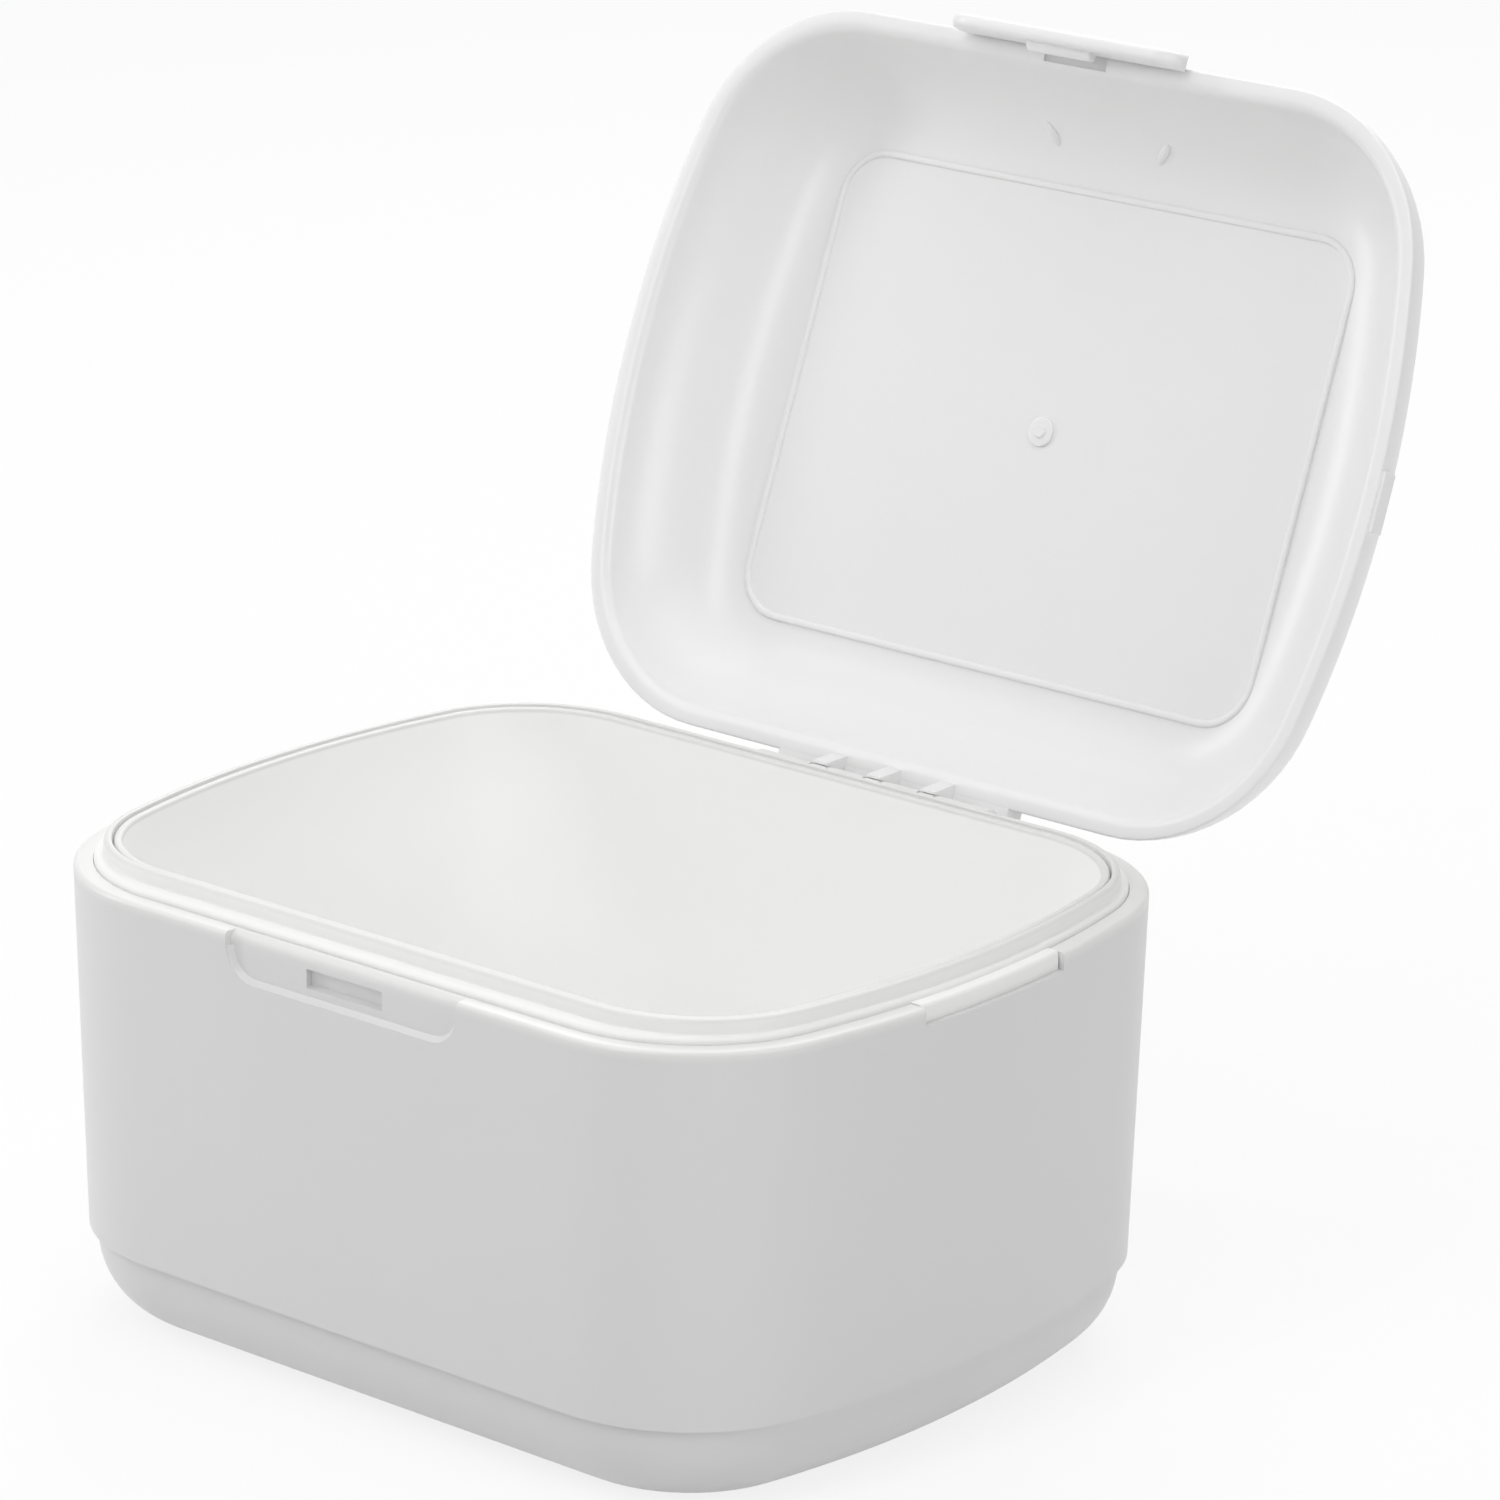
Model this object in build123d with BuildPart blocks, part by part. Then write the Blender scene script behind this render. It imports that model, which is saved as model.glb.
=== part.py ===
"""Denture soaking case with a hinged lid, a lift-out tub and a strainer basket.

Frame: Z is up, X runs along the front, and the front with the latch faces -Y.
The origin is the centre of the underside. The lid stands open, leaning back.
"""

import os
from math import cos, radians, sin, sqrt

from build123d import *

# ---------------------------------------------------------------- sizes, mm
# Plan of the case: a rounded rectangle with straight front and back and bowed sides.
case_width = 100.0
case_depth = 79.3
corner_radius = 19.5
side_bow_radius = 113.6

# Outer sleeve
sleeve_height = 38.8
sleeve_wall = 2.0
sleeve_draft = 1.03
rim_edge_radius = 0.7
rim_inner_radius = 0.2
sleeve_foot_radius = 0.2

# Base bowl under the sleeve
base_height = 9.6
base_step = 1.92
base_edge_radius = 8.6
base_floor = 1.8
base_spigot_height = 3.0
base_spigot_wall = 1.2
base_inner_radius = 6.4
spigot_fit = 0.05

# Soaking tub
ring_inset = 2.25
ring_height = 3.05
ring_rise = 1.1
ring_edge_radius = 0.5
lip_inset_side = 2.7
lip_inset_front = 3.7
lip_inset_corner = 3.5
lip_rise = 2.1
lip_edge_radius = 0.45
tub_wall = 0.85
tub_draft = 2.4
tub_floor = 1.4
tub_edge_radius = 9.0
tub_base_gap = 0.4

# Ears of the tub in the side notches of the sleeve
ear_width = 21.0
ear_set_back = 0.7
ear_rise = 0.15
ear_edge_radius = 0.45
notch_depth = 1.75
notch_clearance = 0.25
ear_seat_gap = 0.05

# Strainer basket
basket_gap = 0.2
basket_wall = 0.9
basket_rim_drop = 0.4
basket_rim_radius = 0.3
basket_floor = 1.2
basket_foot_height = 2.5
basket_foot_diameter = 5.0
basket_foot_spacing_x = 56.0
basket_foot_spacing_y = 32.0
basket_edge_radius = 7.5
drain_hole_diameter = 3.6
drain_hole_pitch = 8.0
drain_columns = 9
drain_rows = 6

# Lid
seam_gap = 0.3
lid_height = 12.4
lid_wall = 1.7
lid_rim_wall = 2.2
lid_draft = 0.9
lid_reach_x = 14.6
lid_reach_y = 12.0
lid_crown_radius = 7.0
lid_sections = 6
lid_rim_edge_radius = 0.3
lid_rim_inner_radius = 1.2
panel_bead_width = 0.8
panel_bead_height = 0.35
panel_bead_inset_x = 15.6
panel_bead_inset_y = 13.25
panel_bead_radius = 5.6
gate_boss_radius = 1.6
gate_dimple_radius = 0.8
gate_dimple_depth = 0.25
lid_open_angle = 111.25

# Finger grip on the lid's right side
grip_width = 7.2
grip_proud = 0.3
grip_root = 1.3
grip_angle = 75.0
grip_lift = 0.3
grip_height = 2.1

# Hinge behind the back wall
hinge_set_back = 2.25
hinge_drop = 2.3
hinge_width = 31.0
pin_diameter = 1.6
pin_clearance = 0.05
pin_end_gap = 0.4
pin_chamfer = 0.15
knuckle_radius = 1.9
arm_width = 1.9
arm_pitch = 7.3
arm_count = 3
arm_side_gap = 0.3
knuckle_web_height = 6.0
hinge_pad_height = 2.6
hinge_pad_set_in = 0.4
gusset_drop = 3.0
gusset_foot = 0.25
gusset_clearance = 0.35

# Latch: tab on the lid, recess and slot in the sleeve
latch_width = 30.0
latch_drop = 4.6
latch_rise = 3.55
latch_thickness = 1.5
latch_root_out = 1.55
latch_corner_radius = 3.5
latch_taper_width = 3.2
latch_taper_height = 4.5
latch_edge_radius = 0.35
latch_face_gap = 0.3
latch_root_gap = 0.3
brow_width = 23.5
brow_root_in = 1.75
brow_height = 0.95
brow_top_in = 3.4
brow_rise = 4.1
recess_depth = 0.75
recess_clearance = 0.25
recess_scoop_depth = 1.0
recess_scoop_drop = 1.4
recess_scoop_bulge = 0.38
hook_width = 8.4
hook_height = 1.4
hook_reach = 0.95
hook_chamfer = 0.5
slot_width = 10.0
slot_height = 2.0
slot_drop = 1.6
slot_depth = 0.85
core_cut_width = 8.0
core_cut_depth = 1.1
core_cut_height = 2.4

# ---------------------------------------------------------------- worked out
lip_width = case_width - 2 * lip_inset_side
lip_depth = case_depth - 2 * lip_inset_front
lip_radius = corner_radius - lip_inset_corner
rim_level = base_height + sleeve_height
ring_level = rim_level + ring_rise
ear_level = rim_level + ear_rise
lip_level = rim_level + lip_rise
lid_level = rim_level + seam_gap
front = -case_depth / 2
back = case_depth / 2
hinge_y = back + hinge_set_back
hinge_z = rim_level - hinge_drop
hinge_axis = Axis((0, hinge_y, hinge_z), (1, 0, 0))
pad_outer_y = hinge_y - hinge_pad_set_in
gusset_level = rim_level - gusset_drop
notch_level = rim_level - notch_depth
recess_face = front + recess_depth
slot_middle = rim_level - slot_drop - slot_height / 2
latch_top = rim_level + latch_rise
latch_root_y = front - latch_root_out


def plan(width, depth, radius):
    """Rounded rectangle whose left and right sides bow outwards."""
    bow = side_bow_radius - (case_width - width) / 2
    corner_x = width / 2 - bow + sqrt(bow**2 - (depth / 2) ** 2)
    with BuildSketch() as outline:
        with BuildLine():
            Line((-corner_x, -depth / 2), (corner_x, -depth / 2))
            ThreePointArc((corner_x, -depth / 2), (width / 2, 0), (corner_x, depth / 2))
            Line((corner_x, depth / 2), (-corner_x, depth / 2))
            ThreePointArc((-corner_x, depth / 2), (-width / 2, 0), (-corner_x, -depth / 2))
        make_face()
        fillet(outline.vertices(), radius)
    return outline.sketch


def case_plan(inset):
    """Plan of the case at its rim, moved in by inset."""
    return plan(case_width - 2 * inset, case_depth - 2 * inset, corner_radius - inset)


def lip_plan(inset):
    """Plan of the tub's raised lip, moved in by inset."""
    return plan(lip_width - 2 * inset, lip_depth - 2 * inset, lip_radius - inset)


def add_block(low, high, mode=Mode.ADD):
    """Box between two opposite corners."""
    size = [b - a for a, b in zip(low, high)]
    with Locations(low):
        Box(*size, align=(Align.MIN, Align.MIN, Align.MIN), mode=mode)


# ---------------------------------------------------------------- base bowl
spigot_inset = sleeve_draft + sleeve_wall + spigot_fit
base_cavity_inset = spigot_inset + base_spigot_wall

with BuildPart() as base_bowl:
    with BuildSketch():
        add(case_plan(base_step))
    extrude(amount=base_height)
    fillet(base_bowl.faces().sort_by(Axis.Z)[0].edges(), base_edge_radius)
    with BuildSketch(Plane.XY.offset(base_height)):
        add(case_plan(spigot_inset))
    extrude(amount=base_spigot_height)
    with BuildPart(mode=Mode.PRIVATE) as base_hollow:
        with BuildSketch(Plane.XY.offset(base_floor)):
            add(case_plan(base_cavity_inset))
        extrude(amount=rim_level)
        fillet(base_hollow.faces().sort_by(Axis.Z)[0].edges(), base_inner_radius)
    add(base_hollow.part, mode=Mode.SUBTRACT)

# ---------------------------------------------------------------- outer sleeve
arm_places = [(i - (arm_count - 1) / 2) * arm_pitch for i in range(arm_count)]
arm_half = arm_width / 2 + arm_side_gap
knuckle_edges = [-hinge_width / 2]
for place in arm_places:
    knuckle_edges += [place - arm_half, place + arm_half]
knuckle_edges.append(hinge_width / 2)
knuckle_spans = list(zip(knuckle_edges[::2], knuckle_edges[1::2]))
wall_back_face = back - sleeve_draft
web_foot = hinge_z - knuckle_radius - knuckle_web_height

with BuildPart() as outer_sleeve:
    for wall, mode in ((0, Mode.ADD), (sleeve_wall, Mode.SUBTRACT)):
        with BuildSketch(Plane.XY.offset(base_height)):
            add(case_plan(sleeve_draft + wall))
        with BuildSketch(Plane.XY.offset(rim_level)):
            add(case_plan(wall))
        loft(ruled=True, mode=mode)
    rim_face = outer_sleeve.faces().sort_by(Axis.Z)[-1]
    fillet(rim_face.outer_wire().edges(), rim_edge_radius)
    rim_face = outer_sleeve.faces().sort_by(Axis.Z)[-1]
    fillet(rim_face.inner_wires()[0].edges(), rim_inner_radius)
    foot_face = outer_sleeve.faces().sort_by(Axis.Z)[0]
    fillet(foot_face.outer_wire().edges(), sleeve_foot_radius)

    # Side notches for the tub's ears
    notch_half = ear_width / 2 + notch_clearance
    add_block(
        (-case_width, -notch_half, notch_level), (case_width, notch_half, ring_level), Mode.SUBTRACT
    )

    # Shallow recess for the latch tab
    recess_half = latch_width / 2 + recess_clearance
    with BuildSketch(Plane.XZ.offset(-recess_face)):
        with Locations((0, rim_level)):
            Rectangle(2 * recess_half, 2 * (latch_drop + recess_clearance))
        recess_corners = vertices().group_by(Axis.Y)[0]
        fillet(recess_corners, latch_corner_radius)
    extrude(amount=case_depth, mode=Mode.SUBTRACT)

    # The rim slopes down into the recess
    scoop_foot = rim_level - recess_scoop_drop
    scoop_back = recess_face + recess_scoop_depth
    scoop_middle = (
        recess_face + recess_scoop_bulge * recess_scoop_depth,
        rim_level - recess_scoop_bulge * recess_scoop_drop,
    )
    with BuildSketch(Plane.YZ.offset(-recess_half)):
        with BuildLine():
            Polyline(
                (scoop_back, rim_level),
                (scoop_back, ring_level),
                (front, ring_level),
                (front, scoop_foot),
                (recess_face, scoop_foot),
            )
            ThreePointArc((recess_face, scoop_foot), scoop_middle, (scoop_back, rim_level))
        make_face()
    extrude(amount=2 * recess_half, mode=Mode.SUBTRACT)

    # Blind slot for the hook
    add_block(
        (-slot_width / 2, front, slot_middle - slot_height / 2),
        (slot_width / 2, recess_face + slot_depth, slot_middle + slot_height / 2),
        Mode.SUBTRACT,
    )

    # Hinge knuckles on webs, bored for the pin, with rim notches between them for the arms
    for start, end in knuckle_spans:
        with BuildSketch(Plane.YZ.offset(start)):
            with Locations((hinge_y, hinge_z)):
                Circle(knuckle_radius)
            with BuildLine():
                Polyline(
                    (wall_back_face, web_foot),
                    (hinge_y + knuckle_radius, hinge_z),
                    (hinge_y, hinge_z + knuckle_radius),
                    (wall_back_face, hinge_z + knuckle_radius),
                    close=True,
                )
            make_face()
        extrude(amount=end - start)
    for place in arm_places:
        add_block(
            (place - arm_half, back - sleeve_wall - sleeve_draft, gusset_level - gusset_clearance),
            (place + arm_half, pad_outer_y, ring_level),
            Mode.SUBTRACT,
        )
    with BuildSketch(Plane.YZ.offset(-hinge_width / 2)):
        with Locations((hinge_y, hinge_z)):
            Circle(pin_diameter / 2 + pin_clearance)
    extrude(amount=hinge_width, mode=Mode.SUBTRACT)

# ---------------------------------------------------------------- soaking tub
tub_bottom = base_floor + tub_base_gap
ring_bottom = ring_level - ring_height
seat_level = notch_level + ear_seat_gap

with BuildPart() as soaking_tub:
    with BuildSketch(Plane.XY.offset(tub_bottom)):
        add(lip_plan(tub_draft))
    with BuildSketch(Plane.XY.offset(ring_bottom)):
        add(lip_plan(0))
    loft(ruled=True)
    fillet(soaking_tub.faces().sort_by(Axis.Z)[0].edges(), tub_edge_radius)
    with BuildSketch(Plane.XY.offset(ring_bottom)):
        add(case_plan(ring_inset))
    extrude(amount=ring_height)
    fillet(soaking_tub.faces().sort_by(Axis.Z)[-1].edges(), ring_edge_radius)

    # Ears through the side notches
    with BuildSketch(Plane.XY.offset(seat_level)):
        add(case_plan(ear_set_back))
        Rectangle(case_width, ear_width, mode=Mode.INTERSECT)
    extrude(amount=ear_level - seat_level)
    near_top = ear_edge_radius / 2
    ear_edges = soaking_tub.edges().filter_by_position(Axis.Z, ear_level - near_top, ear_level + near_top)
    outermost = ear_edges.sort_by(Axis.X)
    fillet([outermost[0], outermost[-1]], ear_edge_radius)

    with BuildSketch(Plane.XY.offset(ring_level)):
        add(lip_plan(0))
    extrude(amount=lip_level - ring_level)
    fillet(soaking_tub.faces().sort_by(Axis.Z)[-1].edges(), lip_edge_radius)

    # Hollow, with the same draft as the outside
    hollow_floor = tub_bottom + tub_floor
    with BuildPart(mode=Mode.PRIVATE) as tub_hollow:
        with BuildSketch(Plane.XY.offset(hollow_floor)):
            add(lip_plan(tub_draft + tub_wall))
        with BuildSketch(Plane.XY.offset(lip_level)):
            add(lip_plan(tub_wall))
        loft(ruled=True)
        fillet(tub_hollow.faces().sort_by(Axis.Z)[0].edges(), tub_edge_radius - tub_wall)
    add(tub_hollow.part, mode=Mode.SUBTRACT)

# ---------------------------------------------------------------- strainer basket
basket_bottom = hollow_floor + basket_gap + basket_foot_height
basket_level = lip_level - basket_rim_drop
tub_slope = tub_draft / (lip_level - hollow_floor)


def tub_inset(level):
    """How far the tub's inner wall lies inside the lip's outline at a level."""
    return tub_wall + tub_slope * (lip_level - level)


with BuildPart() as strainer_basket:
    with BuildSketch(Plane.XY.offset(basket_bottom)):
        add(lip_plan(tub_inset(basket_bottom) + basket_gap))
    with BuildSketch(Plane.XY.offset(basket_level)):
        add(lip_plan(tub_inset(basket_level) + basket_gap))
    loft(ruled=True)
    fillet(strainer_basket.faces().sort_by(Axis.Z)[0].edges(), basket_edge_radius)
    fillet(strainer_basket.faces().sort_by(Axis.Z)[-1].edges(), basket_rim_radius)
    basket_floor_level = basket_bottom + basket_floor
    with BuildPart(mode=Mode.PRIVATE) as basket_hollow:
        for level in (basket_floor_level, lip_level):
            with BuildSketch(Plane.XY.offset(level)):
                add(lip_plan(tub_inset(level) + basket_gap + basket_wall))
        loft(ruled=True)
        hollow_foot = basket_hollow.faces().sort_by(Axis.Z)[0]
        fillet(hollow_foot.edges(), basket_edge_radius - basket_wall)
    add(basket_hollow.part, mode=Mode.SUBTRACT)
    with BuildSketch(Plane.XY.offset(basket_bottom)):
        with GridLocations(drain_hole_pitch, drain_hole_pitch, drain_columns, drain_rows):
            Circle(drain_hole_diameter / 2)
    extrude(amount=basket_floor, mode=Mode.SUBTRACT)
    with BuildSketch(Plane.XY.offset(basket_bottom)):
        with GridLocations(basket_foot_spacing_x, basket_foot_spacing_y, 2, 2):
            Circle(basket_foot_diameter / 2)
    extrude(amount=-basket_foot_height)

# ---------------------------------------------------------------- hinge pin
pin_half = hinge_width / 2 - pin_end_gap

with BuildPart() as hinge_pin:
    with BuildSketch(Plane.YZ.offset(-pin_half)):
        with Locations((hinge_y, hinge_z)):
            Circle(pin_diameter / 2)
    extrude(amount=2 * pin_half)
    chamfer(hinge_pin.edges(), pin_chamfer)


# ---------------------------------------------------------------- lid
def dome_plan(angle, wall):
    """Section through the lid's outside, or its inside when the rim's wall is given."""
    lean = 1 - cos(radians(angle))
    rise = sin(radians(angle))
    inset_x = wall + lid_draft * rise + (lid_reach_x - wall) * lean
    inset_y = wall + lid_draft * rise + (lid_reach_y - wall) * lean
    radius = corner_radius - wall - (corner_radius - wall - lid_crown_radius) * lean
    return plan(case_width - 2 * inset_x, case_depth - 2 * inset_y, radius)


panel_level = lid_level + lid_height - lid_wall
gusset_root_y = back - lid_rim_wall + lid_rim_inner_radius
brow_foot = latch_top + latch_root_gap

with BuildPart() as lid_closed:
    for rim_wall, wall, mode in ((0, 0, Mode.ADD), (lid_rim_wall, lid_wall, Mode.SUBTRACT)):
        for i in range(lid_sections):
            angle = 90 * i / (lid_sections - 1)
            level = lid_level + (lid_height - wall) * sin(radians(angle))
            with BuildSketch(Plane.XY.offset(level)):
                add(dome_plan(angle, rim_wall))
        loft(mode=mode)
    lid_rim = lid_closed.faces().sort_by(Axis.Z)[0]
    fillet(lid_rim.outer_wire().edges(), lid_rim_edge_radius)
    lid_rim = lid_closed.faces().sort_by(Axis.Z)[0]
    fillet(lid_rim.inner_wires()[0].edges(), lid_rim_inner_radius)

    # Finger grip on the right
    with BuildSketch(Plane.XY.offset(lid_level + grip_lift)):
        with Locations((case_width / 2 - grip_root, 0)):
            Trapezoid(
                grip_width,
                grip_root + grip_proud,
                grip_angle,
                rotation=-90,
                align=(Align.CENTER, Align.MIN),
            )
    extrude(amount=grip_height)

    # Pad, arms and gussets of the hinge
    add_block(
        (-hinge_width / 2, back - lid_wall / 2, lid_level),
        (hinge_width / 2, pad_outer_y, lid_level + hinge_pad_height),
    )
    for place in arm_places:
        with BuildSketch(Plane.YZ.offset(place - arm_width / 2)):
            with BuildLine():
                Polyline(
                    (gusset_root_y, lid_level + lid_rim_edge_radius),
                    (gusset_root_y, lid_level),
                    (hinge_y - knuckle_radius - gusset_foot, gusset_level),
                    (hinge_y - knuckle_radius, gusset_level),
                    (hinge_y - knuckle_radius, hinge_z),
                    (hinge_y + knuckle_radius, hinge_z),
                    (pad_outer_y, lid_level + hinge_pad_height),
                    (back - lid_wall / 2, lid_level + hinge_pad_height),
                    close=True,
                )
            make_face()
            with Locations((hinge_y, hinge_z)):
                Circle(knuckle_radius)
        extrude(amount=arm_width)
    with BuildSketch(Plane.YZ.offset(-hinge_width / 2)):
        with Locations((hinge_y, hinge_z)):
            Circle(pin_diameter / 2 + pin_clearance)
    extrude(amount=hinge_width, mode=Mode.SUBTRACT)

    # Brow over the root of the latch tab
    with BuildSketch(Plane.YZ.offset(-brow_width / 2)):
        with BuildLine():
            Polyline(
                (front + brow_root_in, brow_foot),
                (latch_root_y, brow_foot),
                (latch_root_y, brow_foot + brow_height),
                (front + brow_top_in, brow_foot + brow_rise),
                close=True,
            )
        make_face()
    extrude(amount=brow_width)

    # Pocket in the rim behind the hook
    add_block(
        (-core_cut_width / 2, latch_root_y, rim_level),
        (core_cut_width / 2, front + core_cut_depth, lid_level + core_cut_height),
        Mode.SUBTRACT,
    )

    # Bead and gate mark on the inside of the panel, rooted in its wall
    bead_foot = panel_level - panel_bead_height
    with BuildSketch(Plane.XY.offset(bead_foot)):
        for inset, mode in ((0, Mode.ADD), (panel_bead_width, Mode.SUBTRACT)):
            RectangleRounded(
                case_width - 2 * (panel_bead_inset_x + inset),
                case_depth - 2 * (panel_bead_inset_y + inset),
                panel_bead_radius - inset,
                mode=mode,
            )
        Circle(gate_boss_radius)
    extrude(amount=panel_bead_height + lid_wall / 2)
    with BuildSketch(Plane.XY.offset(bead_foot)):
        Circle(gate_dimple_radius)
    extrude(amount=gate_dimple_depth, mode=Mode.SUBTRACT)

# ---------------------------------------------------------------- latch tab
latch_inner_y = recess_face - latch_face_gap
latch_outer_y = latch_inner_y - latch_thickness

with BuildPart() as latch_closed:
    with BuildSketch(Plane.YZ.offset(-latch_width / 2)):
        with BuildLine():
            Polyline(
                (latch_inner_y, rim_level - latch_drop),
                (latch_inner_y, lid_level - latch_root_gap),
                (front - latch_root_gap, lid_level - latch_root_gap),
                (front - latch_root_gap, latch_top),
                (latch_root_y, latch_top),
                (latch_outer_y, rim_level - latch_drop),
                close=True,
            )
        make_face()
    extrude(amount=latch_width)
    lower_corners = latch_closed.edges().filter_by(Axis.Y).group_by(Axis.Z)[0]
    fillet(lower_corners, latch_corner_radius)
    root_face = latch_closed.faces().sort_by(Axis.Z)[-1]
    upper_corners = root_face.edges().filter_by(Axis.Y)
    chamfer(upper_corners, latch_taper_width, latch_taper_height, reference=root_face)
    outer_face = latch_closed.faces().sort_by(Axis.Y)[0]
    fillet(outer_face.edges().group_by(Axis.Z)[0], latch_edge_radius)
    with BuildSketch(Plane.YZ.offset(-hook_width / 2)):
        with BuildLine():
            Polyline(
                (latch_inner_y, slot_middle + hook_height / 2),
                (latch_inner_y + hook_reach, slot_middle + hook_height / 2),
                (latch_inner_y + hook_reach, slot_middle - hook_height / 2 + hook_chamfer),
                (latch_inner_y + hook_reach - hook_chamfer, slot_middle - hook_height / 2),
                (latch_inner_y, slot_middle - hook_height / 2),
                close=True,
            )
        make_face()
    extrude(amount=hook_width)

# ---------------------------------------------------------------- the lid leans back open
with BuildPart() as lid_shell:
    add(lid_closed.part.rotate(hinge_axis, -lid_open_angle))

with BuildPart() as latch_tab:
    add(latch_closed.part.rotate(hinge_axis, -lid_open_angle))

# ---------------------------------------------------------------- export
os.makedirs("parts", exist_ok=True)

base_bowl.part.label = "base_bowl"
export_step(base_bowl.part, "parts/base_bowl.step")

outer_sleeve.part.label = "outer_sleeve"
export_step(outer_sleeve.part, "parts/outer_sleeve.step")

soaking_tub.part.label = "soaking_tub"
export_step(soaking_tub.part, "parts/soaking_tub.step")

strainer_basket.part.label = "strainer_basket"
export_step(strainer_basket.part, "parts/strainer_basket.step")

hinge_pin.part.label = "hinge_pin"
export_step(hinge_pin.part, "parts/hinge_pin.step")

lid_shell.part.label = "lid_shell"
export_step(lid_shell.part, "parts/lid_shell.step")

latch_tab.part.label = "latch_tab"
export_step(latch_tab.part, "parts/latch_tab.step")
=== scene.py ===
"""Looks of a denture soaking case: shells, lid, latch, tub, basket, plastics, light and camera."""

from itertools import pairwise
from math import asin, cos, pi, radians, sin

import bmesh
import bpy
from bpy.props import FloatProperty, FloatVectorProperty, IntProperty, PointerProperty
from mathutils import Matrix, Vector


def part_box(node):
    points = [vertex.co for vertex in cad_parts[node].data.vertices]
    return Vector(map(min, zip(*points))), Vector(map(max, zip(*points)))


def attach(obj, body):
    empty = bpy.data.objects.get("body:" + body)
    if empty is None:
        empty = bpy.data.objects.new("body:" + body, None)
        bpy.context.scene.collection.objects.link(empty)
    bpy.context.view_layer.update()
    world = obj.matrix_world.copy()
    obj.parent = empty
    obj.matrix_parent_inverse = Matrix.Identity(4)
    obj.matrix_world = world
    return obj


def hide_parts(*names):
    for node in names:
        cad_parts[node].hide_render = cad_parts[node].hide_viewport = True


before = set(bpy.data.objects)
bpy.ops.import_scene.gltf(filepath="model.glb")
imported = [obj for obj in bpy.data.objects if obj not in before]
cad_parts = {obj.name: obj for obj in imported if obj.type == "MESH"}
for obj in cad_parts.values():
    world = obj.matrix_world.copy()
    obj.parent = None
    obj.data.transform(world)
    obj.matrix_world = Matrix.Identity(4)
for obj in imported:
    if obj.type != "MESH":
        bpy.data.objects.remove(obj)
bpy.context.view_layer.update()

bl_info = {
    "name": "Denture Soaking Case",
    "version": (1, 0, 0),
    "blender": (4, 5, 0),
    "location": "3D View > Sidebar > Soaking Case",
    "description": "Builds a moulded soaking case with its lid open, its tub and its basket",
    "category": "Add Mesh",
}

MM = 0.001
UP = Vector((0, 0, 1))

# Plan of the case: straight front and back, bowed sides, round corners.
CASE_WIDTH = 100 * MM
CASE_DEPTH = 79.3 * MM
CORNER_RADIUS = 19.5 * MM
SIDE_BOW = 113.6 * MM
CORNER_STEPS = 14
SIDE_STEPS = 12
FRONT = -CASE_DEPTH / 2
BACK = CASE_DEPTH / 2

# Heights above the surface the case stands on.
PARTING_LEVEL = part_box("outer_sleeve")[0].z
RIM_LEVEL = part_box("outer_sleeve")[1].z
LID_LEVEL = RIM_LEVEL + 0.3 * MM
RING_LEVEL = RIM_LEVEL + 0.65 * MM
LIP_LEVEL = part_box("soaking_tub")[1].z
TUB_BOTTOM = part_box("soaking_tub")[0].z
TUB_FLOOR = TUB_BOTTOM + 1.4 * MM
BASKET_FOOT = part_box("strainer_basket")[0].z

# How far the walls draw in towards the bottom, and the tub's raised lip.
SLEEVE_DRAFT = 1.03 * MM
TUB_DRAFT = 2.4 * MM
LIP_WIDTH = CASE_WIDTH - 5.4 * MM
LIP_DEPTH = CASE_DEPTH - 7.4 * MM
LIP_RADIUS = CORNER_RADIUS - 3.5 * MM
LIP_WALL = 0.85 * MM

# Ears on the tub's ring, and the notches for them in the sleeve's rim.
EAR_WIDTH = 21.3 * MM
EAR_NOTCH_WIDTH = 21.5 * MM
EAR_NOTCH_FOOT = RIM_LEVEL - 1.75 * MM

# Hinge behind the back wall, and how far the lid leans back.
HINGE = Vector((0, BACK + 2.25 * MM, RIM_LEVEL - 2.3 * MM))
HINGE_WIDTH = 31 * MM
KNUCKLE_RADIUS = 1.9 * MM
BORE_RADIUS = 0.85 * MM
ARM_WIDTH = 1.9 * MM
ARM_PLACES = (-7.3 * MM, 0.0, 7.3 * MM)
ARM_SIDE_GAP = 0.3 * MM
GUSSET_SIDE_GAP = 0.12 * MM
GUSSET_LEVEL = RIM_LEVEL - 3 * MM
LEAN_BACK = Matrix.Rotation(radians(-111.25), 4, "X")

# Dome of the lid: how far it draws in from the rim to the panel, and the panel's corners.
DOME_HEIGHT = 12.4 * MM
DOME_DRAFT = 0.9 * MM
DOME_INSET_X = 14.6 * MM
DOME_INSET_Y = 12 * MM
PANEL_CORNER = 7 * MM

# Latch tab, its hook, and the recess it lies in.
LATCH_WIDTH = 30 * MM
LATCH_TOP = RIM_LEVEL + 3.55 * MM
LATCH_CORNER = 3.5 * MM
LATCH_CORNER_STEPS = 8
LATCH_INNER = FRONT + 0.45 * MM
ROOT_FACE = FRONT - 1.55 * MM
HOOK_LEVEL = RIM_LEVEL - 2.6 * MM
RECESS_WIDTH = 30.5 * MM
RECESS_FACE = FRONT + 0.75 * MM

# Cutting shapes reach this far past what they cut; places this near count as one.
OVERSHOOT = 9 * MM
TOUCH = 0.01 * MM

# Edges that turn by more are shaded sharp, or rounded where a piece asks for it.
SHARP_TURN = radians(35)
ROUNDED_TURN = radians(32)

# How strongly each plastic bends light.
ABS_IOR = 1.53
POLYPROPYLENE_IOR = 1.49

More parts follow.
